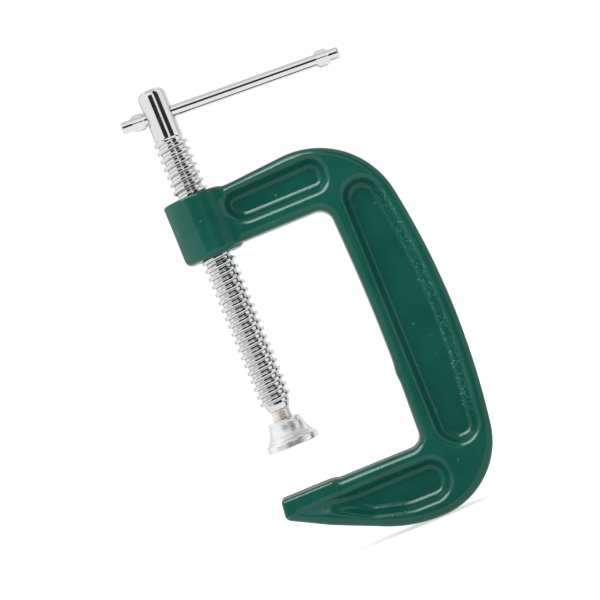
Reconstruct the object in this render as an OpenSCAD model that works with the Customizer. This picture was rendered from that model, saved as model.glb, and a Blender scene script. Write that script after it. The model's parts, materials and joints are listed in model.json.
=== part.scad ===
// C clamp: a cast C frame, a long screw through its tapped boss, a loose handle
// bar through the head of the screw, and a swivel pad crimped over the ball at
// its foot. Millimetres. The origin is the middle of the clamping face of the
// anvil; +Z runs up the screw to its head and +X runs across the throat to the
// spine of the frame. The clamp stands part open, its handle bar slid right over.

/* [Clamp] */
// Gap between the swivel pad and the anvil as the clamp stands
opening = 21.3; // [0.5:0.1:100]
// Widest the jaws can open
largest_opening = 101.6; // [90:0.1:115]
// Screw axis to the middle of the inner face of the spine
throat = 58; // [52:0.5:66]
// Thickness of the frame across its flanges
frame_thickness = 19; // [16:0.5:24]

/* [Screw] */
// Diameter over the thread
screw_d = 15.8; // [14:0.1:16]
// Rise of the screw in one turn
pitch = 4; // [3:0.25:5]
// Length of the threaded part
thread_length = 138; // [132:1:150]
// Diameter of the plain head, and height above the thread
head_d = 13.7; // [12.8:0.1:15]
head_height = 25.2; // [20:0.2:32]

/* [Handle bar] */
// Diameter of the bar
bar_d = 6; // [5:0.1:6.5]
// Length over both ends
bar_length = 108.5; // [70:0.5:140]
// Angle the loose bar droops in its hole
bar_droop = 2.8; // [0:0.1:3]

/* [Swivel pad] */
// Diameter of the clamping face
pad_d = 25.4; // [22:0.2:28]
// Height of the pad
pad_height = 13.4; // [12.6:0.1:16]

/* [Hidden] */
$fn = 64;

// Frame: heights of the boss and the upper arm over the anvil
boss_bottom = largest_opening + pad_height + 2.7;
boss_top = boss_bottom + 30.3;
boss_d = 28.8;
boss_bevel = 1.4;
arm_bottom = boss_bottom + 1.5;
arm_top = boss_top + 1.3;
half_thickness = frame_thickness / 2;
web_thickness = 7;
edge_width = 2.2;
edge_depth = 1.8;
wall_draft = 3;
anvil_extra = 0.7;
anvil_depth = 8.4;
anvil_length = 40;
anvil_back = 11;
chord_error = 0.08;

// Screw: the pad sits over the ball at its foot, and a plain collar ends the thread
ball_d = 11.8;
neck_d = 9.2;
ball_centre = opening + 7.4;
collar_bottom = opening + pad_height + 4.8;
collar_height = 3.6;
collar_d = 12.6;
collar_bevel = 0.8;
thread_bottom = collar_bottom + 1.2;
head_bottom = collar_bottom + thread_length;
head_crown = 3;
head_overlap = 0.6;
screw_r = screw_d / 2;
thread_depth = 0.54 * pitch;
flank_run = 0.15 * pitch;
crest_width = 0.35 * pitch;
core_r = screw_r - thread_depth - 0.6;
thread_clearance = 0.22;
// The drilled hole lets the plain foot of the screw through when the clamp is put together
drilled_d = collar_d + 0.4;
facets_per_turn = 20;

// Handle bar: pinched ears near both ends stop it leaving the head
bar_hole_d = bar_d + 0.85;
bar_height = head_bottom + 11.3;
stub_length = 5;
ear_length = 6.6;
ear_span = 8.8;
ear_thickness = 4.4;
ear_step = 0.5;
ear_ramp = 2.6;
ear_gap = 0.25;
bar_start = -(head_d / 2 + ear_gap + ear_length + stub_length);

// Swivel pad: a rim at the face, a flared skirt and a collar closed over the ball
pad_rim = 3;
pad_rim_bevel = 0.8;
pad_face_bevel = 0.5;
pad_collar_d = 16.3;
pad_collar_height = 4;
ball_clearance = 0.2;
pad_mouth_d = neck_d + 1;
crimp_depth = 0.5;
crimp_drop = 1.6;

// Corners of the outlines, each [x, z, radius], anticlockwise from the anvil tip
spine = throat - 58;
lift = boss_bottom - 117.7;
frame_outline = [
    [-15.6, 0, 2.7], [-16.6, -9.6, 3.4],
    [1.7, -20.5, 60], [37.3, -35.3, 72],
    [84.6 + spine, -35.5, 37.5], [98.6 + spine, 56.7 + lift / 2, 355],
    [83.4 + spine, arm_top, 37], [49.5, arm_top, 60],
    [17.5, arm_top - 2.3, 40], [0, boss_top - 0.2, 2.8],
    [0, arm_bottom, 2.8], [57.2 + spine, arm_bottom, 7],
    [58.9 + spine, 62 + lift / 2, 900], [56.2 + spine, -0.8, 6],
    [14.2, -0.8, 4], [11.6, 0, 4],
];
arm_recess = [
    [12.4, arm_bottom + 7.8, 6.5], [62 + spine, arm_bottom + 7.8, 7],
    [63 + spine, arm_top - 5, 7.5], [12.4, arm_top - 6.4, 6.5],
];
spine_recess = [
    [63.4 + spine, -0.6, 5], [71 + spine, -7.6, 8],
    [83.9 + spine, -7.6, 11], [92.4 + spine, 62 + lift / 2, 340],
    [82 + spine, arm_top - 22, 9], [63.9 + spine, arm_top - 22, 9],
];
jaw_recess = [
    [4.4, -11, 3.4], [20.5, -22.2, 50], [42, -28.4, 30],
    [63.9 + spine, -28.4, 9], [62.9 + spine, -7.4, 7], [20, -7.4, 10],
];

// Helpers for rounded outlines
function unit(v) = v / norm(v);

function turned(v, a) = [v.x * cos(a) - v.y * sin(a), v.x * sin(a) + v.y * cos(a)];

// Direction from a to b
function heading(a, b) = unit(point(b) - point(a));

function point(c) = [c.x, c.y];

function before(list, i) = list[(i + len(list) - 1) % len(list)];

function after(list, i) = list[(i + 1) % len(list)];

// Points of the arc of radius r that rounds the corner at p, between directions u and v
function corner_arc(p, u, v, r, facets) =
    let (
        half = acos(u * v) / 2,
        centre = p + unit(u + v) * r / sin(half),
        first = p + u * r / tan(half) - centre,
        sweep = sign(cross(v, u)) * (180 - 2 * half)
    )
    [for (k = [0:facets]) centre + turned(first, sweep * k / facets)];

// Facets that keep a corner's arc within chord_error of round
function facets_at(corners, i) =
    let (sweep = acos(heading(before(corners, i), corners[i]) * heading(corners[i], after(corners, i))))
    ceil(sweep / (2 * acos(1 - chord_error / corners[i].z)));

// The outline with its sides moved inwards by d, and as many points whatever d is
function outline(corners, d = 0) =
    let (sides = inset(corners, d))
    [
        for (i = [0:len(corners) - 1])
            each corner_arc(
                point(sides[i]), heading(sides[i], before(sides, i)), heading(sides[i], after(sides, i)),
                sides[i].z, facets_at(corners, i)
            )
    ];

// The same corners with every side moved inwards by d
function inset(corners, d) = [
    for (i = [0:len(corners) - 1])
        let (
            along = heading(before(corners, i), corners[i]),
            onward = heading(corners[i], after(corners, i)),
            inwards = [turned(along, 90), turned(onward, 90)],
            q = point(corners[i]) + (inwards.x + inwards.y) * d / (1 + inwards.x * inwards.y)
        )
        [q.x, q.y, corners[i].z - d * sign(cross(along, onward))]
];

// Quads joining each loop of points to the next, all loops the same length
function loop_sides(loops, count, closed) = [
    for (k = [0:loops - (closed ? 1 : 2)], i = [0:count - 1])
        let (
            here = k * count,
            next = (k + 1) % loops * count,
            j = (i + 1) % count
        )
        [here + i, here + j, next + j, next + i]
];

// Loop of the outline at depth y
function at_depth(points, y) = [for (p = points) [p.x, y, p.y]];

// Cutter with drafted sides, from the flange face down to the web
module drafted_pocket(corners) {
    floor_y = web_thickness / 2;
    draft = wall_draft / (half_thickness - floor_y);
    rim = outline(corners, -draft);
    count = len(rim);
    polyhedron(
        points = concat(
            at_depth(outline(corners, wall_draft), floor_y),
            at_depth(rim, half_thickness + 1)
        ),
        faces = concat(
            [[for (i = [count - 1:-1:0]) i]],
            loop_sides(2, count, false),
            [[for (i = [0:count - 1]) count + i]]
        )
    );
}

// Ring that cuts the bevel round one face of the frame, y being that face's depth
module edge_cutter(corners, y) {
    over = 0.2;
    inner = outline(corners, edge_width * (1 + over));
    outer = outline(corners, -edge_width * over);
    polyhedron(
        points = concat(
            at_depth(inner, y + edge_depth * over),
            at_depth(outer, y - edge_depth * (1 + over)),
            at_depth(outer, y + edge_depth * over)
        ),
        faces = loop_sides(3, len(inner), true)
    );
}

// Threaded rod from z = 0 up: `turns` turns, the ridge fading in and out over half
// a turn. grow widens the ridge and the rod all round, for the hole it runs in.
module threaded_rod(turns, grow) {
    steps = turns * facets_per_turn;
    root_r = screw_r - thread_depth + grow;
    levels = [-grow, flank_run - grow, flank_run + crest_width + grow,
        2 * flank_run + crest_width + grow];
    function fade(i) = min(1, 2 * i / facets_per_turn, 2 * (steps - i) / facets_per_turn);
    function ridge(i, j) =
        let (
            r = root_r + (j == 1 || j == 2 ? thread_depth * fade(i) : 0),
            a = 360 * i / facets_per_turn
        )
        [r * cos(a), r * sin(a), pitch * i / facets_per_turn + levels[j]];
    foot = 4 * (steps + 1);
    tip = foot + 1;
    last = 4 * (steps - facets_per_turn);
    turn = 4 * facets_per_turn;
    polyhedron(
        points = concat(
            [for (i = [0:steps], j = [0:3]) ridge(i, j)],
            [[0, 0, levels[0]], [0, 0, pitch * turns + levels[3]]]
        ),
        faces = concat(
            [for (i = [0:steps - 1], j = [0:2])
                [4 * i + j, 4 * i + j + 1, 4 * i + j + 5, 4 * i + j + 4]],
            [for (i = [0:steps - facets_per_turn - 1])
                [4 * i + 3, 4 * i + turn, 4 * i + turn + 4, 4 * i + 7]],
            [for (i = [0:facets_per_turn - 1]) [foot, 4 * i, 4 * i + 4]],
            [for (j = [0:2]) [foot, j + 1, j]],
            [[foot, turn, 3]],
            [for (i = [0:facets_per_turn - 1]) [tip, last + 4 * i + 7, last + 4 * i + 3]],
            [for (j = [0:2]) [tip, last + turn + j, last + turn + j + 1]],
            [[tip, last + 3, last + turn]]
        )
    );
}

// Casting: I section frame, thicker at the anvil, with a tapped boss
module frame() {
    turns_below = floor((boss_bottom - thread_bottom) / pitch) - 1;
    color([0.09, 0.33, 0.27])
    difference() {
        union() {
            difference() {
                rotate([90, 0, 0])
                    linear_extrude(frame_thickness, center = true)
                        polygon(outline(frame_outline));
                for (side = [0, 1])
                    mirror([0, side, 0]) {
                        edge_cutter(frame_outline, half_thickness);
                        for (recess = [arm_recess, spine_recess, jaw_recess])
                            drafted_pocket(recess);
                    }
            }
            anvil();
            boss();
        }
        translate([0, 0, thread_bottom + turns_below * pitch])
            threaded_rod(ceil((boss_top - boss_bottom) / pitch) + 3, thread_clearance);
        translate([0, 0, boss_bottom - boss_bevel])
            cylinder(d = drilled_d, h = boss_top - boss_bottom + 2 * boss_bevel);
    }
}

// Thicker end of the lower arm that takes the clamping load
module anvil() {
    face = half_thickness + anvil_extra;
    difference() {
        rotate([90, 0, 0])
            linear_extrude(2 * face, center = true)
                intersection() {
                    polygon(outline(frame_outline));
                    translate([anvil_back - anvil_length, -anvil_depth])
                        square([anvil_length, 2 * anvil_depth]);
                }
        for (side = [0, 1])
            mirror([0, side, 0])
                edge_cutter(frame_outline, face);
    }
}

// Round boss, bevelled at both ends
module boss() {
    translate([0, 0, boss_bottom])
        rotate_extrude()
            polygon([
                [0, 0], [boss_d / 2 - boss_bevel, 0], [boss_d / 2, boss_bevel],
                [boss_d / 2, boss_top - boss_bottom - boss_bevel / 2],
                [boss_d / 2 - boss_bevel / 2, boss_top - boss_bottom], [0, boss_top - boss_bottom],
            ]);
}

// One rolled bar: crowned head with its cross hole, thread, neck and ball
module clamp_screw() {
    turns = floor((head_bottom - thread_bottom) / pitch);
    color([0.8, 0.81, 0.83])
    difference() {
        union() {
            translate([0, 0, ball_centre])
                sphere(d = ball_d);
            translate([0, 0, ball_centre])
                cylinder(d = neck_d, h = collar_bottom - ball_centre + 1);
            translate([0, 0, collar_bottom])
                cylinder(d1 = collar_d - 2 * collar_bevel, d2 = collar_d, h = collar_bevel);
            translate([0, 0, collar_bottom + collar_bevel])
                cylinder(d = collar_d, h = collar_height - collar_bevel);
            translate([0, 0, thread_bottom])
                threaded_rod(turns, 0);
            translate([0, 0, collar_bottom])
                cylinder(r = core_r, h = thread_length + head_overlap);
            translate([0, 0, head_bottom - head_overlap])
                crowned_head();
        }
        along_bar()
            translate([0, 0, -head_d])
                cylinder(d = bar_hole_d, h = 2 * head_d);
    }
}

// Plain cylinder with a rounded crown
module crowned_head() {
    side = head_d / 2 - head_crown;
    shoulder = head_height + head_overlap - head_crown;
    rotate_extrude()
        polygon(concat(
            [[0, 0], [head_d / 2, 0]],
            [for (a = [0:15:90]) [side + head_crown * cos(a), shoulder + head_crown * sin(a)]],
            [[0, shoulder + head_crown]]
        ));
}

// Places things on the line of the handle bar, with their Z along the bar
module along_bar() {
    translate([0, 0, bar_height])
        rotate([0, 90 + bar_droop, 0])
            children();
}

// One round bar, pinched near both ends so that it spreads into ears
module tommy_bar() {
    color([0.82, 0.83, 0.85])
    along_bar()
        translate([0, 0, bar_start]) {
            difference() {
                cylinder(d = bar_d, h = bar_length);
                for (low = [stub_length, bar_length - stub_length - ear_length], side = [-1, 1])
                    translate([-bar_d / 2, side * (ear_thickness / 2 + bar_d / 2) - bar_d / 2, low])
                        cube([bar_d, bar_d, ear_length]);
            }
            translate([0, 0, stub_length])
                ears();
            translate([0, 0, bar_length - stub_length])
                mirror([0, 0, 1])
                    ears();
        }
}

// Ears of one pinched place, steep towards the stub and sloping towards the middle
module ears() {
    reach = ear_span / 2;
    root = bar_d / 2 - ear_step;
    rotate([90, 0, 0])
        linear_extrude(ear_thickness, center = true)
            polygon([
                [-root, 0], [root, 0], [reach, ear_step],
                [reach, ear_length - ear_ramp], [root, ear_length],
                [-root, ear_length], [-reach, ear_length - ear_ramp], [-reach, ear_step],
            ]);
}

// Turned cup, its collar crimped inwards over the ball
module swivel_pad() {
    collar_foot = pad_height - pad_collar_height;
    collar_r = pad_collar_d / 2;
    rim_r = pad_d / 2;
    skirt_r = rim_r - pad_rim_bevel;
    flare = [
        for (a = [0:15:90])
            [skirt_r - (skirt_r - collar_r) * sin(a),
                pad_rim + (collar_foot - pad_rim) * (1 - cos(a))]
    ];
    groove = pad_height - crimp_drop;
    color([0.78, 0.79, 0.81])
    translate([0, 0, opening])
    difference() {
        rotate_extrude()
            polygon(concat(
                [[0, 0], [rim_r - pad_face_bevel, 0], [rim_r, pad_face_bevel],
                    [rim_r, pad_rim - pad_rim_bevel]],
                flare,
                [[collar_r, groove - crimp_depth], [collar_r - crimp_depth, groove],
                    [collar_r, groove + crimp_depth], [collar_r - crimp_depth, pad_height],
                    [0, pad_height]]
            ));
        translate([0, 0, ball_centre - opening])
            sphere(d = ball_d + 2 * ball_clearance);
        translate([0, 0, ball_centre - opening])
            cylinder(d = pad_mouth_d, h = pad_height);
    }
}

frame();
clamp_screw();
tommy_bar();
swivel_pad();
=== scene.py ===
"""Looks of the C clamp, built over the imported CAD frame.

Every piece is a solid described by a signed distance: negative inside, positive
outside, zero on the surface. The shapes are in millimetres in the frame's own
axes: X runs across the throat, Y through the thickness and Z up the screw.
mesh_of() and turned_mesh() turn them into meshes, which are in metres.
"""

import json
import math

import bmesh
import bpy
import numpy as np
from mathutils import Matrix, Quaternion, Vector


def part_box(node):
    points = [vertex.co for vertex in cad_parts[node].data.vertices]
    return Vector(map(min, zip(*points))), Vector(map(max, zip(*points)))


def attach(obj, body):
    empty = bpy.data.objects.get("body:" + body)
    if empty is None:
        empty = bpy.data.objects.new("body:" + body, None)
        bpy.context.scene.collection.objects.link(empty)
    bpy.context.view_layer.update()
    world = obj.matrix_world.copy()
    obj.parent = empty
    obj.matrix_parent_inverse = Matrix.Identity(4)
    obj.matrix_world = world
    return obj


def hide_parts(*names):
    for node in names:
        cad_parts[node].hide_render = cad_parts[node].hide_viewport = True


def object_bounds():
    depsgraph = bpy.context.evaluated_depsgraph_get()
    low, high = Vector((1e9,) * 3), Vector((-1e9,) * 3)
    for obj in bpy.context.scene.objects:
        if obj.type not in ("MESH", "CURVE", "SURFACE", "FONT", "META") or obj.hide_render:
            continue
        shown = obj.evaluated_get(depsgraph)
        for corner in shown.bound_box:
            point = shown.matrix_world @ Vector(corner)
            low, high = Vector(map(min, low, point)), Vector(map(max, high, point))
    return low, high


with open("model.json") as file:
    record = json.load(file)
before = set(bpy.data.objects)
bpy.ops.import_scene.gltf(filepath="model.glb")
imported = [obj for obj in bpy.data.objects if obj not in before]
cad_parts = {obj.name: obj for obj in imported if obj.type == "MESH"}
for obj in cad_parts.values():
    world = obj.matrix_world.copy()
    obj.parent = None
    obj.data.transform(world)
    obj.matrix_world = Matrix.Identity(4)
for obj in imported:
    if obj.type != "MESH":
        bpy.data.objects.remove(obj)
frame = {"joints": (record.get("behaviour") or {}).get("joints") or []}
cad_low, cad_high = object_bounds()

MM = 0.001
FAR = 1e6  # farther off than any of the shapes reaches


def box_mm(node):
    """Lowest and highest corner of a CAD node, in millimetres."""
    low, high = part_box(node)
    return np.array(low) / MM, np.array(high) / MM


casting_low, casting_high = box_mm("frame")
screw_low, screw_high = box_mm("clamp_screw")
pad_low, pad_high = box_mm("swivel_pad")
joints = {joint["name"]: joint for joint in frame["joints"]}

# Casting
FLANGE = 9.5  # half the thickness over the flanges
WEB = 3.5  # half the thickness of the web
EDGE_ROUND = 4.0
RECESS_DRAFT = 3.0  # how far a recess wall leans out over its depth
RECESS_RIM = 1.8  # rounding round the top of a recess
RECESS_FLOOR = 2.0  # fillet round its floor
ARM_TOP = casting_high[2]
BOSS_R = casting_high[1]
BOSS_REACH = BOSS_R + 0.5  # how far it stands out away from the arm
BOSS_BOTTOM = 117.7
BOSS_TOP = 148.0
BOSS_TOP_ROUND = 1.0
BOSS_BOTTOM_ROUND = 3.0
BOSS_FILLET = 3.0  # between the boss and the faces of the arm
BOSS_SEAM = 0.5  # between the boss and the top and bottom of the arm
NECK_ROUND = 1.2  # edges of the arm where it runs into the boss
NECK_BLEND = (BOSS_R - 3, BOSS_R + 1)  # x over which they grow as round as the others
BORE_ROUND = 0.5
ANVIL_DEPTH = 8.4
ANVIL_BACK = 11.0
ANVIL_EXTRA = 0.7  # how much thicker the anvil is on each face
ANVIL_STEP = 0.5  # half the width of the step up to that thickness
ANVIL_SHARPER = 2.0  # how much less its edges are rounded
ANVIL_BLEND = 1.0  # half the width over which the rounding changes
# Share of the jaw recess's depth that its floor rises by, from one x to another
JAW_RISE = [(0.8, 21, 3), (0.19, 4, -10)]
# Slight hump on the throat side of the spine
HUMP_HEIGHT = 0.55
HUMP_Z = 34.5
HUMP_SPREAD = 3.6
HUMP_FADE = (68, 60)  # x where it starts, and where it has its full height

# Screw
PITCH = 4.0
SCREW_R = 7.9
THREAD_DEPTH = 0.38 * PITCH
FLANK_RUN = 0.15 * PITCH
CREST_WIDTH = 0.4 * PITCH
ROOT_R = SCREW_R - THREAD_DEPTH
BALL_R = 5.9
NECK_R = 4.6
NECK_LENGTH = 10.8  # from the middle of the ball to the collar
COLLAR_R = 6.3
COLLAR_HEIGHT = 3.6
COLLAR_TAPER = 0.3  # how much narrower it grows for each millimetre down
HEAD_R = 6.85
HEAD_HEIGHT = 25.2
HEAD_CROWN = 3.8
HEAD_TOP = screw_high[2]
HEAD_BOTTOM = HEAD_TOP - HEAD_HEIGHT
BALL_Z = screw_low[2] + BALL_R
COLLAR_BOTTOM = BALL_Z + NECK_LENGTH
THREAD_BOTTOM = COLLAR_BOTTOM + 1.2  # where the turns are counted from
THREAD_START = COLLAR_BOTTOM + COLLAR_HEIGHT - 0.6  # inside the collar
THREAD_END = HEAD_BOTTOM + 3  # inside the head
THREAD_TURNS = math.floor((HEAD_BOTTOM - THREAD_BOTTOM) / PITCH)
RIDGE_CENTRE = THREAD_BOTTOM + 0.375 * PITCH  # middle of the ridge where it starts, on the +X side
CREST_ROUND = 0.45
ROOT_FILLET = 0.15
FADE_DEPTH = 1.0  # how far under the core the ridge has sunk at its ends
NECK_FILLET = 0.8
COLLAR_ROUND = 0.5
THREAD_FILLET = 0.3  # between the collar and the thread
SPARE_TURNS = 2  # cut or meshed beyond each end of a thread
HEAD_LAP = 0.4  # how far the head reaches down over the thread
HEAD_ROUND = 0.6
HEAD_FILLET = 0.4
HOLE_ROUND = 0.5

# Tapped hole in the boss
THREAD_CLEARANCE = 0.22
BORE_R = SCREW_R - 1.2
TAP_ROUND = 0.15

# Handle bar
BAR_R = 3.0
BAR_LENGTH = 108.5
BAR_DROOP = -math.asin(joints["bar_slide"]["axis"][2])
BAR_Z = HEAD_BOTTOM + 12.1
BAR_HOLE_R = BAR_R + 0.425
BAR_END_ROUND = 0.6
STUB = 5.0  # length of bar beyond the ears
EAR_LENGTH = 6.6
EAR_REACH = 4.2
EAR_HALF_THICKNESS = 3.0
EAR_TAPER = 0.42  # how fast an ear thins outwards
EAR_ROUND = 0.9
EAR_FILLET = 0.35
EAR_CORNER = 1.9
EAR_GAP = 0.25  # between the ears and the head
BAR_START = -(HEAD_R + EAR_GAP + EAR_LENGTH + STUB)

# Pad
PAD_R = pad_high[0]
PAD_FOOT = pad_low[2]
PAD_HEIGHT = pad_high[2] - pad_low[2]
PAD_COLLAR_R = 8.15
BALL_CLEARANCE = 0.2
MOUTH_R = NECK_R + 0.5
# Grooves rolled round the pad: radius and height of the middle, and radius of the section
CRIMP = (PAD_COLLAR_R + 0.4, PAD_HEIGHT - 1.7, 0.6)
CREASE = (PAD_R - 0.9, 4.9, 0.7)
GROOVE_ROUND = 0.3
SOCKET_ROUND = 0.4

# Outlines as corners, each (x, z, radius), anticlockwise with x to the right and z up
CASTING_OUTLINE = [
    (-15.4, 0, 1.6), (-16.6, -9.6, 3.2), (2.2, -19.6, 60), (37.3, -35.0, 68),
    (84.2, -35.4, 37.5), (98.6, 56.7, 355), (83.4, ARM_TOP, 41), (47, ARM_TOP, 30),
    (17.5, 147, 40), (0, 147.8, 2.8), (0, 119.2, 2.8), (57.2, 119.2, 7),
    (58.9, 62, 900), (56.2, -0.8, 6), (14.2, -0.8, 4), (11.6, 0, 4),
]
ARM_RECESS = [(12.4, 127, 9.5), (62, 127, 7), (63, 144.3, 7.5), (12.4, 142.9, 6)]
SPINE_RECESS = [
    (64.0, -0.6, 10), (71, -7.2, 7), (83.4, -7.2, 9),
    (91.1, 62, 340), (81.6, 126.6, 9), (64.4, 126.6, 9),
]
JAW_RECESS = [
    (-13.5, -8.6, 0.6), (4.6, -13.2, 6), (20.5, -22.4, 20), (40, -27.6, 30),
    (62.6, -27.8, 10), (62.2, -7.4, 9), (20, -7.6, 10),
]
# The same for a pair of ears, with x along the bar, and for the pad, with x outwards
EAR_OUTLINE = [
    (0, -EAR_REACH, EAR_CORNER), (EAR_LENGTH, -EAR_REACH, EAR_CORNER),
    (EAR_LENGTH, EAR_REACH, EAR_CORNER), (0, EAR_REACH, EAR_CORNER),
]
PAD_PROFILE = [
    (-PAD_R, 0, 0.5), (PAD_R, 0, 0.5), (PAD_R, 3.1, 0.9), (9.1, 7.3, 7),
    (PAD_COLLAR_R, PAD_HEIGHT, 0.8), (-PAD_COLLAR_R, PAD_HEIGHT, 0.8),
]

# Meshes: grid cells, spacing of turned rows, and columns in a turn
CASTING_CELL = 0.48
PAD_CELL = 0.3
THREAD_ROWS = 0.18
PLAIN_ROWS = 0.34
BAR_ROWS = 0.4
SCREW_COLUMNS = 84
BAR_COLUMNS = 64
END_GAP = 0.001  # how far short of an end the last row stops
WELD = 0.002
SLIVER = 0.0005


# ---------------------------------------------------------------- signed distances


def both(a, b, rounding):
    """Inside a and b, with the edge where they meet rounded off."""
    return np.minimum(np.maximum(a, b), -rounding) + np.hypot(
        np.maximum(a + rounding, 0), np.maximum(b + rounding, 0)
    )


def either(a, b, fillet):
    """Inside a or b, with a fillet in the corner between them."""
    return -both(-a, -b, fillet)


def without(a, b, rounding):
    """Inside a but not b, with the new edge rounded off."""
    return both(a, -b, rounding)


def between(value, low, high):
    """Between two parallel planes."""
    return np.abs(value - (low + high) / 2) - (high - low) / 2


def smooth_step(value, start, end):
    """0 before start, 1 after end, and smooth between."""
    t = np.clip((value - start) / (end - start), 0, 1)
    return t * t * (3 - 2 * t)


def nearer(a, b):
    """Whichever of two signed distances is the smaller in size."""
    return np.where(np.abs(a) < np.abs(b), a, b)


def side_distance(start, end, x, z):
    """Distance to a straight side, positive on its right."""
    along = end - start
    px, pz = x - start[0], z - start[1]
    t = np.clip((px * along[0] + pz * along[1]) / (along @ along), 0, 1)
    right = pz * along[0] - px * along[1] < 0
    return np.hypot(px - t * along[0], pz - t * along[1]) * np.where(right, 1, -1)


def arc_distance(centre, radius, middle, half_sweep, x, z):
    """Distance to an arc, positive outside its circle, and huge beyond its ends."""
    px, pz = x - centre[0], z - centre[1]
    r = np.hypot(px, pz)
    within = px * middle[0] + pz * middle[1] >= r * math.cos(half_sweep)
    return np.where(within, r - radius, FAR)


def outline_distance(corners, x, z):
    """Signed distance to a closed outline with rounded corners."""
    points = np.array([(cx, cz) for cx, cz, _ in corners], float)
    radii = [radius for _, _, radius in corners]
    starts, ends, arcs = [], [], []
    for i, point in enumerate(points):
        back = points[i - 1] - point
        onward = points[(i + 1) % len(points)] - point
        back /= np.linalg.norm(back)
        onward /= np.linalg.norm(onward)
        half = math.acos(back @ onward) / 2
        bisector = (back + onward) / np.linalg.norm(back + onward)
        bulge = 1 if back[0] * onward[1] - back[1] * onward[0] < 0 else -1
        tangent = radii[i] / math.tan(half)
        ends.append(point + back * tangent)
        starts.append(point + onward * tangent)
        centre = point + bisector * radii[i] / math.sin(half)
        arcs.append((centre, radii[i], -bisector, math.pi / 2 - half, bulge))
    best = FAR
    for i, (centre, radius, middle, half_sweep, bulge) in enumerate(arcs):
        best = nearer(best, bulge * arc_distance(centre, radius, middle, half_sweep, x, z))
        best = nearer(best, side_distance(starts[i - 1], ends[i], x, z))
    return best


def thread_distance(x, y, z, crest_r, root_r, widen, turns, rounding):
    """Helical ridge round a rod, fading in and out over half a turn at its ends.

    `turns` is where the ridge starts and ends, counted in turns from RIDGE_CENTRE,
    and `widen` is added to half its width.
    """
    r = np.hypot(x, y)
    turn = np.arctan2(y, x) / (2 * math.pi) % 1
    phase = (z - RIDGE_CENTRE) / PITCH - turn
    nearest = np.round(phase)
    first, last = turns
    run = np.minimum(nearest + turn - first, last - nearest - turn)
    fade = np.clip(2 * run, 0, 1)
    lean = FLANK_RUN / THREAD_DEPTH
    half_width = CREST_WIDTH / 2 + widen + (crest_r - r) * lean
    flank = (np.abs(phase - nearest) * PITCH - half_width) / math.hypot(1, lean)
    sunk_r = root_r - FADE_DEPTH
    crest = r - (sunk_r + (crest_r - sunk_r) * fade)
    return either(r - root_r, both(crest, flank, rounding), ROOT_FILLET)


def waviness(x, y, z):
    """Slight unevenness of a sand casting, under a tenth of a millimetre."""
    waves = np.sin(0.21 * x + 1.3) * np.sin(0.17 * z + 0.4) * np.cos(0.3 * y)
    return 0.05 * waves


def recess(corners, x, depth, z, floor=WEB):
    """Drafted pocket in the flange face, filleted at its floor."""
    run, rise = RECESS_DRAFT, FLANGE - WEB
    inside = outline_distance(corners, x, z)
    wall = (inside * rise - (depth - FLANGE) * run) / math.hypot(run, rise)
    return both(wall, floor - depth, RECESS_FLOOR)


def flanged_body(side, x, depth, z):
    """Arms and spine, with the thicker anvil and a recess in each length."""
    out_of_anvil = np.maximum(x - ANVIL_BACK, -ANVIL_DEPTH - z)
    half = FLANGE + ANVIL_EXTRA * smooth_step(out_of_anvil, ANVIL_STEP, -ANVIL_STEP)
    sharper = ANVIL_SHARPER * smooth_step(out_of_anvil, ANVIL_BLEND, -ANVIL_BLEND)
    body = both(side, depth - half, EDGE_ROUND - sharper)
    rise = sum(share * smooth_step(x, start, end) for share, start, end in JAW_RISE)
    jaw_floor = WEB + (FLANGE - WEB) * rise
    for corners, floor in ((ARM_RECESS, WEB), (SPINE_RECESS, WEB), (JAW_RECESS, jaw_floor)):
        body = without(body, recess(corners, x, depth, z, floor), RECESS_RIM)
    return body


def neck_of_arm(side, boss_side, x, depth, z):
    """Root of the upper arm, its faces filleted into the boss."""
    neck = either(boss_side, np.maximum(depth - FLANGE, -x), BOSS_FILLET)
    neck = np.maximum(neck, x - BOSS_R - BOSS_FILLET)
    height = between(z, BOSS_BOTTOM, BOSS_TOP)
    rounding = NECK_ROUND + (EDGE_ROUND - NECK_ROUND) * smooth_step(x, *NECK_BLEND)
    neck = both(neck, np.maximum(side, height), rounding)
    return without(neck, recess(ARM_RECESS, x, depth, z), RECESS_RIM)


def casting(x, y, z):
    """I section C frame with its anvil, recesses, boss and tapped hole."""
    depth = np.abs(y)
    hump = HUMP_HEIGHT * np.exp(-(((z - HUMP_Z) / HUMP_SPREAD) ** 2)) * smooth_step(x, *HUMP_FADE)
    side = outline_distance(CASTING_OUTLINE, x, z) - hump
    boss_side = np.hypot(np.where(x < 0, x * BOSS_R / BOSS_REACH, x), y) - BOSS_R
    boss = both(boss_side, z - BOSS_TOP, BOSS_TOP_ROUND)
    boss = both(boss, BOSS_BOTTOM - z, BOSS_BOTTOM_ROUND)
    body = flanged_body(side, x, depth, z)
    body = np.minimum(body, neck_of_arm(side, boss_side, x, depth, z))
    solid = either(body, boss, BOSS_SEAM) + waviness(x, y, z)
    return without(solid, tapped_hole(x, y, z), BORE_ROUND)


def tapped_hole(x, y, z):
    """Hole through the boss, with the thread that the screw runs in."""
    grown = THREAD_CLEARANCE
    first = (BOSS_BOTTOM - THREAD_BOTTOM) / PITCH - SPARE_TURNS
    last = (BOSS_TOP - THREAD_BOTTOM) / PITCH + SPARE_TURNS
    hole = thread_distance(x, y, z, SCREW_R + grown, BORE_R, grown, (first, last), TAP_ROUND)
    return np.maximum(hole, between(z, BOSS_BOTTOM - PITCH, BOSS_TOP + PITCH))


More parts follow.
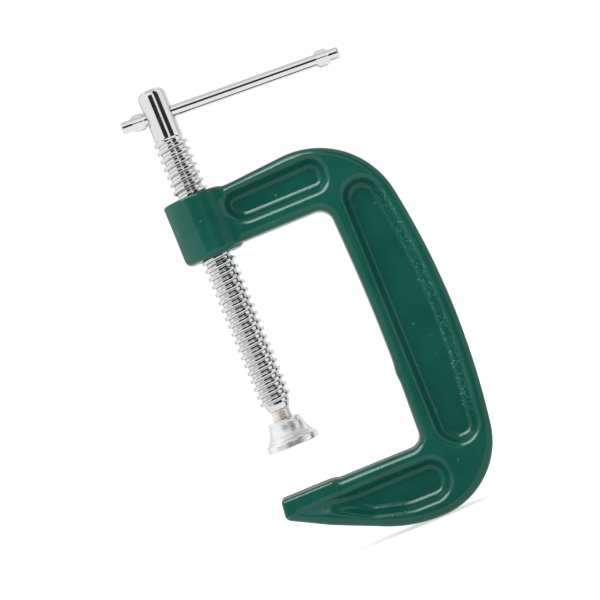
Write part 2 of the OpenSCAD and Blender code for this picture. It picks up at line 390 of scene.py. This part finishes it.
def screw_blank(x, y, z):
    """Crowned head, thread, collar, neck and ball, before the cross hole is drilled."""
    r = np.hypot(x, y)
    ball = np.sqrt(x * x + y * y + (z - BALL_Z) ** 2) - BALL_R
    neck = np.maximum(r - NECK_R, between(z, BALL_Z, COLLAR_BOTTOM + 1))
    foot = either(ball, neck, NECK_FILLET)
    cone = r - COLLAR_R + COLLAR_TAPER * (COLLAR_BOTTOM + COLLAR_HEIGHT - z)
    collar = both(cone, between(z, COLLAR_BOTTOM, COLLAR_BOTTOM + COLLAR_HEIGHT), COLLAR_ROUND)
    thread = thread_distance(x, y, z, SCREW_R, ROOT_R, 0, (0, THREAD_TURNS), CREST_ROUND)
    thread = np.maximum(thread, between(z, THREAD_START, THREAD_END))
    head = both(r - HEAD_R, z - HEAD_TOP, HEAD_CROWN)
    head = both(head, HEAD_BOTTOM - HEAD_LAP - z, HEAD_ROUND)
    rod = either(either(foot, collar, COLLAR_ROUND), thread, THREAD_FILLET)
    return either(rod, head, HEAD_FILLET)


def screw(x, y, z):
    """The screw with the hole for the handle bar through its head."""
    across = x * math.sin(BAR_DROOP) + (z - BAR_Z) * math.cos(BAR_DROOP)
    hole = np.hypot(across, y) - BAR_HOLE_R
    return without(screw_blank(x, y, z), hole, HOLE_ROUND)


def handle_bar(across, y, along):
    """Round bar with a pair of ears struck up near both ends, in its own axes."""
    from_start = along - BAR_START
    from_near_end = np.minimum(from_start, BAR_LENGTH - from_start)
    rod = both(np.hypot(across, y) - BAR_R, -from_near_end, BAR_END_ROUND)
    wings = outline_distance(EAR_OUTLINE, from_near_end - STUB, across)
    faces = np.abs(y) - EAR_HALF_THICKNESS + EAR_TAPER * np.abs(across)
    ears = both(wings, faces / math.hypot(1, EAR_TAPER), EAR_ROUND)
    return either(rod, ears, EAR_FILLET)


def pad(x, y, z):
    """Bell shaped cup whose collar is crimped over the ball of the screw."""
    r = np.hypot(x, y)
    height = z - PAD_FOOT
    cup = outline_distance(PAD_PROFILE, r, height)
    for groove_r, groove_height, section_r in (CRIMP, CREASE):
        groove = np.hypot(r - groove_r, height - groove_height) - section_r
        cup = without(cup, groove, GROOVE_ROUND)
    socket = np.sqrt(x * x + y * y + (z - BALL_Z) ** 2) - BALL_R - BALL_CLEARANCE
    mouth = np.maximum(r - MOUTH_R, BALL_Z - z)
    return without(cup, np.minimum(socket, mouth), SOCKET_ROUND)


# ------------------------------------------------------------------------ meshing


def crossed_cells(values, axes):
    """Index of each grid cell the surface passes through, and a first point in it."""
    inside = values < 0
    shape = [n - 1 for n in values.shape]
    corners = [(i, j, k) for i in (0, 1) for j in (0, 1) for k in (0, 1)]

    def at_corner(grid, c):
        """The grid's values at one corner of every cell."""
        return grid[c[0]:c[0] + shape[0], c[1]:c[1] + shape[1], c[2]:c[2] + shape[2]]

    count = sum(at_corner(inside, c).astype(np.int8) for c in corners)
    place = np.argwhere((count > 0) & (count < 8))
    total = np.zeros((len(place), 3))
    hits = np.zeros(len(place))
    for start in corners:
        for axis in range(3):
            if start[axis]:
                continue
            end = tuple(1 if a == axis else start[a] for a in range(3))
            a = values[tuple((place + start).T)]
            b = values[tuple((place + end).T)]
            cut = (a < 0) != (b < 0)
            share = np.where(cut, a / np.where(cut, a - b, 1), 0)
            point = place + start + share[:, None] * (np.arange(3) == axis)
            total += point * cut[:, None]
            hits += cut
    index = np.full(shape, -1)
    index[tuple(place.T)] = np.arange(len(place))
    origin = [axis[0] for axis in axes]
    spacing = [axis[1] - axis[0] for axis in axes]
    return index, total / hits[:, None] * spacing + origin


def quads_of(values, index):
    """One face across every grid edge that the surface cuts, facing outwards."""
    inside = values < 0
    faces = []
    for axis in range(3):
        u, v = (axis + 1) % 3, (axis + 2) % 3
        here = [slice(1, -1)] * 3
        there = [slice(1, -1)] * 3
        here[axis], there[axis] = slice(0, -1), slice(1, None)
        cut = inside[tuple(here)] != inside[tuple(there)]
        place = np.argwhere(cut) + [0 if a == axis else 1 for a in range(3)]
        ring = []
        for du, dv in ((-1, -1), (0, -1), (0, 0), (-1, 0)):
            corner = place.copy()
            corner[:, u] += du
            corner[:, v] += dv
            ring.append(index[tuple(corner.T)])
        ring = np.stack(ring, 1)
        outwards = inside[tuple(place.T)]
        faces.append(np.where(outwards[:, None], ring, ring[:, ::-1]))
    return np.concatenate(faces)


def gradient(shape, points, step=0.02):
    """Slope of a signed distance at each point."""
    slopes = []
    for axis in range(3):
        shift = np.zeros(3)
        shift[axis] = step
        ahead = shape(*(points + shift).T)
        behind = shape(*(points - shift).T)
        slopes.append((ahead - behind) / (2 * step))
    return np.stack(slopes, 1)


def mesh_of(name, shape, low, high, cell, pulls=4):
    """New object whose surface is where the signed distance `shape` is zero.

    The grid reaches more than a cell beyond low and high on every side. The points
    start inside its cells and are pulled onto the surface a few times.
    """
    axes = [np.arange(a - 1.5 * cell, b + 2.5 * cell, cell) for a, b in zip(low, high)]
    x, y, z = np.meshgrid(*axes, indexing="ij", sparse=True)
    values = np.broadcast_to(shape(x, y, z), [len(axis) for axis in axes])
    index, points = crossed_cells(values, axes)
    faces = quads_of(values, index)
    for _ in range(pulls):
        slope = gradient(shape, points)
        steepness = np.maximum((slope**2).sum(1), 0.05)
        move = np.clip(shape(*points.T) / steepness, -cell, cell)
        points = points - slope * move[:, None]
    piece = new_object(name, points, faces)
    smooth(piece, shape)
    return piece


def new_object(name, points, faces):
    """Object from points in millimetres."""
    mesh = bpy.data.meshes.new(name)
    mesh.from_pydata((points * MM).tolist(), [], faces.tolist())
    piece = bpy.data.objects.new(name, mesh)
    bpy.context.scene.collection.objects.link(piece)
    return piece


def smooth(piece, shape):
    """Shades the piece with the true slope of its signed distance at each vertex."""
    mesh = piece.data
    points = np.empty(len(mesh.vertices) * 3)
    mesh.vertices.foreach_get("co", points)
    normals = gradient(shape, points.reshape(-1, 3) / MM)
    normals /= np.maximum(np.linalg.norm(normals, axis=1), 1e-9)[:, None]
    mesh.polygons.foreach_set("use_smooth", [True] * len(mesh.polygons))
    mesh.update()
    mesh.normals_split_custom_set_from_vertices(normals.tolist())


def radius_at(shape, angle, z, halvings=24):
    """How far out from the Z axis the surface is, found by halving the interval."""
    near = np.zeros_like(z)
    far = np.full_like(z, SCREW_R + 1)
    for _ in range(halvings):
        middle = (near + far) / 2
        solid = shape(middle * np.cos(angle), middle * np.sin(angle), z) < 0
        near = np.where(solid, middle, near)
        far = np.where(solid, far, middle)
    return near


def even_rows(shape, low, high, spacing, sampling=0.01):
    """Heights from low to high, evenly spaced along the profile of the shape."""
    z = np.linspace(low, high, int((high - low) / sampling))
    r = radius_at(shape, 0.0, z)
    length = np.concatenate([[0], np.cumsum(np.hypot(np.diff(r), np.diff(z)))])
    return np.interp(np.linspace(0, length[-1], round(length[-1] / spacing) + 1), length, z)


def turned_mesh(name, shape, blocks, columns):
    """Closed mesh round the Z axis, from blocks of rows.

    A block is its rows' heights, how far they rise in a turn, and its lowest and
    highest point. The blocks are joined, and the ends capped, in close_mesh().
    """
    turn = np.arange(columns + 1) / columns
    all_points = []
    all_faces = []
    count = 0
    for heights, rise, low, high in blocks:
        z = np.clip(heights[:, None] + rise * turn, low, high)
        angle = 2 * math.pi * turn + 0 * z
        r = radius_at(shape, angle, z)
        all_points.append(np.stack([r * np.cos(angle), r * np.sin(angle), z], 2).reshape(-1, 3))
        row, column = np.mgrid[0:len(heights) - 1, 0:columns]
        first = count + (row * (columns + 1) + column).ravel()
        above = first + columns + 1
        all_faces.append(np.stack([first, first + 1, above + 1, above], 1))
        count += z.size
    piece = new_object(name, np.concatenate(all_points), np.concatenate(all_faces))
    close_mesh(piece.data)
    return piece


def close_mesh(mesh):
    """Welds points that meet, caps the open ends and turns every face outwards."""
    shell = bmesh.new()
    shell.from_mesh(mesh)
    bmesh.ops.remove_doubles(shell, verts=shell.verts, dist=WELD * MM)
    ends = [edge for edge in shell.edges if edge.is_boundary]
    bmesh.ops.holes_fill(shell, edges=ends, sides=0)
    bmesh.ops.dissolve_degenerate(shell, edges=shell.edges, dist=SLIVER * MM)
    bmesh.ops.recalc_face_normals(shell, faces=shell.faces)
    shell.to_mesh(mesh)
    shell.free()


def screw_mesh():
    """The screw, its rows following the helix along the thread.

    The rows of one turn in the middle of the thread are repeated along all of it, with
    spare turns at both ends that turned_mesh() flattens against the plain lengths.
    """
    sample = THREAD_BOTTOM + 20 * PITCH
    one_turn = even_rows(screw_blank, sample, sample + PITCH, THREAD_ROWS)[:-1] - sample
    turn_count = math.ceil((THREAD_END - THREAD_START) / PITCH)
    turns = np.arange(-SPARE_TURNS, turn_count + SPARE_TURNS)
    helical = (turns[:, None] * PITCH + one_turn).ravel() + THREAD_BOTTOM
    foot = even_rows(screw_blank, screw_low[2] + END_GAP, THREAD_START, PLAIN_ROWS)
    head = even_rows(screw_blank, THREAD_END, HEAD_TOP - END_GAP, PLAIN_ROWS)
    blocks = [
        (foot, 0, -FAR, FAR),
        (helical, PITCH, THREAD_START, THREAD_END),
        (head, 0, -FAR, FAR),
    ]
    piece = turned_mesh("screw", screw_blank, blocks, SCREW_COLUMNS)
    drill(piece)
    smooth(piece, screw)
    return piece


def drill(piece):
    """Drills the hole for the handle bar through the head of the screw."""
    bit = bpy.data.meshes.new("drill")
    shell = bmesh.new()
    bmesh.ops.create_cone(
        shell, cap_ends=True, segments=64, depth=3 * HEAD_R * MM,
        radius1=BAR_HOLE_R * MM, radius2=BAR_HOLE_R * MM,
    )
    shell.to_mesh(bit)
    shell.free()
    cutter = bpy.data.objects.new("drill", bit)
    bpy.context.scene.collection.objects.link(cutter)
    cutter.matrix_world = bar_placement()
    cut = piece.modifiers.new("hole", "BOOLEAN")
    cut.object = cutter
    cut.solver = "EXACT"
    bpy.context.view_layer.update()
    drilled = piece.evaluated_get(bpy.context.evaluated_depsgraph_get())
    piece.data = bpy.data.meshes.new_from_object(drilled)
    piece.modifiers.clear()
    bpy.data.objects.remove(cutter)


def bar_placement():
    """Where the handle bar's own Z axis lies in the frame."""
    return Matrix.Translation((0, 0, BAR_Z * MM)) @ Matrix.Rotation(
        math.pi / 2 + BAR_DROOP, 4, "Y"
    )


def bar_mesh():
    """The handle bar, turned about its own axis and then laid in its hole."""
    first, last = BAR_START + END_GAP, BAR_START + BAR_LENGTH - END_GAP
    rows = even_rows(handle_bar, first, last, BAR_ROWS)
    piece = turned_mesh("handle_bar", handle_bar, [(rows, 0, -FAR, FAR)], BAR_COLUMNS)
    smooth(piece, handle_bar)
    piece.matrix_world = bar_placement()
    return piece


# ---------------------------------------------------------------------- materials


class Nodes:
    """Short way to add nodes to a material or world and join them up."""

    def __init__(self, owner):
        owner.use_nodes = True
        self.tree = owner.node_tree
        self.tree.nodes.clear()

    def add(self, kind, settings=None, **inputs):
        """Adds a node. An input is a value, or the socket that feeds it."""
        node = self.tree.nodes.new(kind)
        for key, value in (settings or {}).items():
            setattr(node, key, value)
        for key, value in inputs.items():
            self.feed(self.input_named(node, key), value)
        return node

    def input_named(self, node, key):
        """Input by position, as in in0, or by its name with underscores for spaces."""
        if key.startswith("in") and key[2:].isdigit():
            return node.inputs[int(key[2:])]
        return node.inputs[key.replace("_", " ")]

    def feed(self, socket, value):
        """Links the input to a socket, or sets it to a plain value."""
        if isinstance(value, bpy.types.NodeSocket):
            self.tree.links.new(value, socket)
        else:
            socket.default_value = value

    def math(self, operation, *values):
        """Result of a Math node."""
        inputs = {f"in{i}": value for i, value in enumerate(values)}
        return self.add("ShaderNodeMath", {"operation": operation}, **inputs).outputs[0]

    def ramp(self, value, start, end, low=0.0, high=1.0):
        """value mapped smoothly from start..end to low..high."""
        settings = {"interpolation_type": "SMOOTHSTEP"}
        return self.add(
            "ShaderNodeMapRange", settings, in0=value, in1=start, in2=end, in3=low, in4=high
        ).outputs[0]

    def noise(self, vector, scale, detail=2.0, roughness=0.5):
        """Noise from 0 to 1 at a scale in features per metre."""
        return self.add(
            "ShaderNodeTexNoise", None,
            Vector=vector, Scale=scale, Detail=detail, Roughness=roughness,
        ).outputs["Fac"]

    def mix(self, share, a, b):
        """Colour between a and b."""
        node = self.add("ShaderNodeMix", {"data_type": "RGBA"})
        self.feed(node.inputs[0], share)
        self.feed(node.inputs[6], a)
        self.feed(node.inputs[7], b)
        return node.outputs[2]

    def bump(self, height, distance, normal=None):
        """Normal bumped by height, in units of distance."""
        inputs = {"Height": height, "Distance": distance, "Strength": 1.0}
        if normal is not None:
            inputs["Normal"] = normal
        return self.add("ShaderNodeBump", None, **inputs).outputs[0]


def rough_wall(n, place):
    """1 along the outer wall of the spine's recess, where the sand broke away, 0 elsewhere; its
    grain is also painted pale there as painted glints.
    """
    wall_x, middle_z, bow_radius = 86.6, 62, 340
    x, _, z = n.add("ShaderNodeSeparateXYZ", None, Vector=place).outputs
    from_middle = n.math("SUBTRACT", z, middle_z * MM)
    squared = n.math("MULTIPLY", from_middle, from_middle)
    bow = n.math("DIVIDE", squared, 2 * bow_radius * MM)
    off_wall = n.math("ABSOLUTE", n.math("SUBTRACT", n.math("ADD", x, bow), wall_x * MM))
    across = n.ramp(off_wall, 2.6 * MM, 1.6 * MM)
    along = n.ramp(n.math("ABSOLUTE", from_middle), 62 * MM, 52 * MM)
    return n.math("MULTIPLY", across, along)


def enamel():
    """Glossy green stoved enamel, thick over a rough casting."""
    dark_green = (0.0044, 0.060, 0.0435, 1)
    light_green = (0.0060, 0.073, 0.053, 1)
    glint_green = (0.05, 0.24, 0.17, 1)
    material = bpy.data.materials.new("green_enamel")
    n = Nodes(material)
    place = n.add("ShaderNodeTexCoord").outputs["Object"]
    cloudy = n.noise(place, 55, 3)
    colour = n.mix(n.ramp(cloudy, 0.3, 0.7), dark_green, light_green)
    # A raised speck in the middle of about one cell in five, which is also painted pale as a glint
    cells = n.add("ShaderNodeTexVoronoi", None, Vector=place, Scale=190, Randomness=1.0)
    pick = n.add("ShaderNodeSeparateColor", None, Color=cells.outputs["Color"]).outputs[0]
    dot = n.ramp(cells.outputs["Distance"], 0.17, 0.05)
    speck = n.math("MULTIPLY", dot, n.ramp(pick, 0.76, 0.8))
    # Slow swell, finer orange peel and the coarse grain of the rough wall
    peel = n.noise(place, 420, 2)
    grain = n.math("MULTIPLY", n.ramp(n.noise(place, 800, 2), 0.52, 0.66), rough_wall(n, place))
    swell = n.noise(place, 120, 2)
    # The specks and the rough wall's grain are painted a paler green: painted glints, standing in
    # for light catching them
    painted_glint = n.math("MULTIPLY", n.math("MAXIMUM", speck, grain), 0.4)
    colour = n.mix(painted_glint, colour, glint_green)
    normal = n.bump(swell, 0.09 * MM)
    normal = n.bump(peel, 0.016 * MM, normal)
    normal = n.bump(grain, 0.12 * MM, normal)
    normal = n.bump(speck, 0.12 * MM, normal)
    shader = n.add(
        "ShaderNodeBsdfPrincipled", None,
        Base_Color=colour, Roughness=n.ramp(cloudy, 0.2, 0.8, 0.30, 0.42), Normal=normal,
        Coat_Weight=0.5, Coat_Roughness=0.14, Coat_Normal=normal, Specular_IOR_Level=0.0,
    )
    n.add("ShaderNodeOutputMaterial", None, Surface=shader.outputs[0])
    return material


def chrome(name, colour, roughness, scratches, dull_below=-1000):
    """Bright plating with fine scratches, worn dull below a height in millimetres.

    `scratches` squeezes the noise along each axis, so that it runs into lines.
    """
    dull_grey = (0.74, 0.70, 0.62, 1)
    material = bpy.data.materials.new(name)
    n = Nodes(material)
    place = n.add("ShaderNodeTexCoord").outputs["Object"]
    stretched = n.add("ShaderNodeMapping", None, Vector=place, Scale=scratches).outputs[0]
    fine = n.noise(stretched, 900, 3, 0.6)
    cloudy = n.noise(place, 130, 3)
    smudge = n.ramp(cloudy, 0.35, 0.75, roughness, roughness * 2.2)
    tint = n.mix(n.ramp(cloudy, 0.3, 0.8), colour, [0.93 * c for c in colour[:3]] + [1])
    height = n.add("ShaderNodeSeparateXYZ", None, Vector=place).outputs[2]
    dull = n.ramp(height, (dull_below + 0.3) * MM, dull_below * MM)
    tint = n.mix(dull, tint, dull_grey)
    smudge = n.math("MAXIMUM", smudge, n.math("MULTIPLY", dull, 0.4))
    normal = n.bump(n.noise(place, 200, 1), 0.01 * MM)
    normal = n.bump(fine, 0.0015 * MM, normal)
    shader = n.add(
        "ShaderNodeBsdfPrincipled", None,
        Base_Color=tint, Metallic=1.0, Roughness=smudge, Normal=normal,
    )
    n.add("ShaderNodeOutputMaterial", None, Surface=shader.outputs[0])
    return material


def assign(piece, body, node, material):
    """The piece stands for a CAD node, rides on its body and takes its material."""
    piece.data.materials.append(material)
    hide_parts(node)
    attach(piece, body)


def build_pieces():
    """Meshes the four pieces and gives each its finish. Returns the casting."""
    lengthwise = (1, 1, 0.08)
    plating = chrome("bright_chrome", (0.62, 0.62, 0.625, 1), 0.06, lengthwise, COLLAR_BOTTOM)
    bar_plating = chrome("bar_chrome", (0.64, 0.64, 0.645, 1), 0.05, lengthwise)
    dull_plating = chrome("dull_chrome", (0.76, 0.76, 0.765, 1), 0.26, (1, 1, 1))
    casting_piece = mesh_of("casting", casting, casting_low, casting_high, CASTING_CELL)
    assign(casting_piece, "frame", "frame", enamel())
    assign(screw_mesh(), "clamp_screw", "clamp_screw", plating)
    assign(bar_mesh(), "tommy_bar", "tommy_bar", bar_plating)
    pad_piece = mesh_of("pad", pad, pad_low, pad_high, PAD_CELL)
    assign(pad_piece, "swivel_pad", "swivel_pad", dull_plating)
    return casting_piece


# -------------------------------------------------------------------------- stage

TENT_LEVEL = 1.25  # brightness of the white surround in reflections
DIFFUSE_LEVEL = 0.8  # its brightness as a light
CARD_BLUR = 1.0  # degrees either side of a card's edge
# Cards round the clamp, seen only in its reflections: azimuth from the front,
# elevation, half width and half height in degrees, and how much light they take away
CARDS = [
    (10, -2.1, 38, 7.9, 0.97),
    (-10.2, 15.4, 17, 10.6, 0.97),
    (40, 32, 18, 27, 0.97),
    (45, 4, 22, 1.2, 0.97),
    (-52, -5, 25, 8, 0.42),
    (0, 90, 181, 28, 0.3),
    (180, 4.6, 25, 1.6, 0.8),
    (-180, 4.6, 25, 1.6, 0.8),
    (112, 10, 12, 40, 0.35),
    (150, 10, 9, 40, 0.4),
    (-140, 10, 12, 40, 0.4),
]
LAMP_COLOUR = (0.85, 1.0, 0.96)

# Camera, in millimetres and degrees
AIM = (28.45, 0, 83.7)
VIEWPOINT = (28.5, -900, 65)
ROLL = 22.3
PICTURE_WIDTH = 283.2  # how much of the scene the picture spans, at the aim


def studio_world():
    """White all round, with the dark cards in reflections alone."""
    world = bpy.data.worlds.new("studio")
    bpy.context.scene.world = world
    n = Nodes(world)
    direction = n.add("ShaderNodeTexCoord").outputs["Generated"]
    part = n.add("ShaderNodeSeparateXYZ", None, Vector=direction).outputs
    to_degrees = 180 / math.pi
    back = n.math("MULTIPLY", part[1], -1.0)
    azimuth = n.math("MULTIPLY", n.math("ARCTAN2", part[0], back), to_degrees)
    elevation = n.math("MULTIPLY", n.math("ARCSINE", part[2]), to_degrees)
    light = TENT_LEVEL
    for card_azimuth, card_elevation, half_width, half_height, darkness in CARDS:
        beside = n.math("ABSOLUTE", n.math("SUBTRACT", azimuth, card_azimuth))
        above = n.math("ABSOLUTE", n.math("SUBTRACT", elevation, card_elevation))
        across = n.ramp(beside, half_width - CARD_BLUR, half_width + CARD_BLUR, darkness, 0.0)
        up = n.ramp(above, half_height - CARD_BLUR, half_height + CARD_BLUR, 1.0, 0.0)
        kept = n.math("SUBTRACT", 1.0, n.math("MULTIPLY", across, up))
        light = n.math("MULTIPLY", light, kept)
    path = n.add("ShaderNodeLightPath").outputs
    plain = n.ramp(path["Is Camera Ray"], 0.0, 1.0, DIFFUSE_LEVEL, 1.0)
    level = n.mix(path["Is Glossy Ray"], plain, light)
    background = n.add("ShaderNodeBackground", None, Color=level)
    n.add("ShaderNodeOutputWorld", None, Surface=background.outputs[0])
    world.cycles.sampling_method = "NONE"


def pale_floor():
    """Wide matt floor just under the clamp, glowing a little and left out of reflections."""
    reach = 4.0
    level = cad_low.z - 0.2 * MM
    corners = [(-reach, -reach), (reach, -reach), (reach, reach), (-reach, reach)]
    mesh = bpy.data.meshes.new("floor")
    mesh.from_pydata([(x, y, level) for x, y in corners], [], [(0, 1, 2, 3)])
    floor = bpy.data.objects.new("floor", mesh)
    bpy.context.scene.collection.objects.link(floor)
    material = bpy.data.materials.new("pale_floor")
    n = Nodes(material)
    place = n.add("ShaderNodeTexCoord").outputs["Object"]
    tone = n.ramp(n.noise(place, 40, 2), 0.3, 0.7)
    colour = n.mix(tone, (0.93, 0.93, 0.93, 1), (0.95, 0.95, 0.95, 1))
    matt = n.add("ShaderNodeBsdfDiffuse", None, Color=colour)
    glow = n.add("ShaderNodeEmission", None, Strength=0.55)
    shader = n.add("ShaderNodeAddShader", None, in0=matt.outputs[0], in1=glow.outputs[0])
    n.add("ShaderNodeOutputMaterial", None, Surface=shader.outputs[0])
    mesh.materials.append(material)
    floor.visible_glossy = False


def soft_light(name, towards, distance, size, brightness, lit):
    """Soft light aimed at the middle of the clamp, falling on the collection `lit` alone."""
    light = bpy.data.lights.new(name, "AREA")
    light.shape = "RECTANGLE"
    light.size, light.size_y = size
    light.energy = brightness * math.pi * size[0] * size[1]
    light.color = LAMP_COLOUR
    lamp = bpy.data.objects.new(name, light)
    bpy.context.scene.collection.objects.link(lamp)
    direction = Vector(towards).normalized()
    lamp.location = (cad_low + cad_high) / 2 + direction * distance
    lamp.rotation_euler = direction.to_track_quat("Z", "Y").to_euler()
    lamp.visible_camera = False
    lamp.light_linking.receiver_collection = lit
    return lamp


def light_casting(casting_piece):
    """Softboxes above and to the left, kept off the bright plating."""
    painted = bpy.data.collections.new("painted")
    painted.objects.link(casting_piece)
    soft_light("top_strip", (-0.25, -0.62, 0.75), 0.8, (0.6, 0.16), 11, painted)
    softbox = soft_light("softbox", (-0.25, -0.62, 0.85), 0.8, (0.8, 0.6), 8, painted)
    softbox.visible_diffuse = False
    side_light = soft_light("side_light", (-0.9, -0.4, 0.2), 0.8, (0.4, 0.4), 4, painted)
    side_light.visible_glossy = False


def camera():
    """Camera in front of the clamp, rolled so that the screw leans to the left."""
    aim = Vector(AIM) * MM
    place = Vector(VIEWPOINT) * MM
    data = bpy.data.cameras.new("camera")
    data.sensor_width = 36
    data.lens = data.sensor_width * (aim - place).length / (PICTURE_WIDTH * MM)
    data.clip_start = 0.01
    viewer = bpy.data.objects.new("camera", data)
    bpy.context.scene.collection.objects.link(viewer)
    viewer.location = place
    viewer.rotation_mode = "QUATERNION"
    level = (aim - place).to_track_quat("-Z", "Y")
    viewer.rotation_quaternion = level @ Quaternion((0, 0, 1), -math.radians(ROLL))
    bpy.context.scene.camera = viewer


casting_piece = build_pieces()
studio_world()
pale_floor()
light_casting(casting_piece)
camera()
bpy.context.scene.view_settings.view_transform = "Standard"
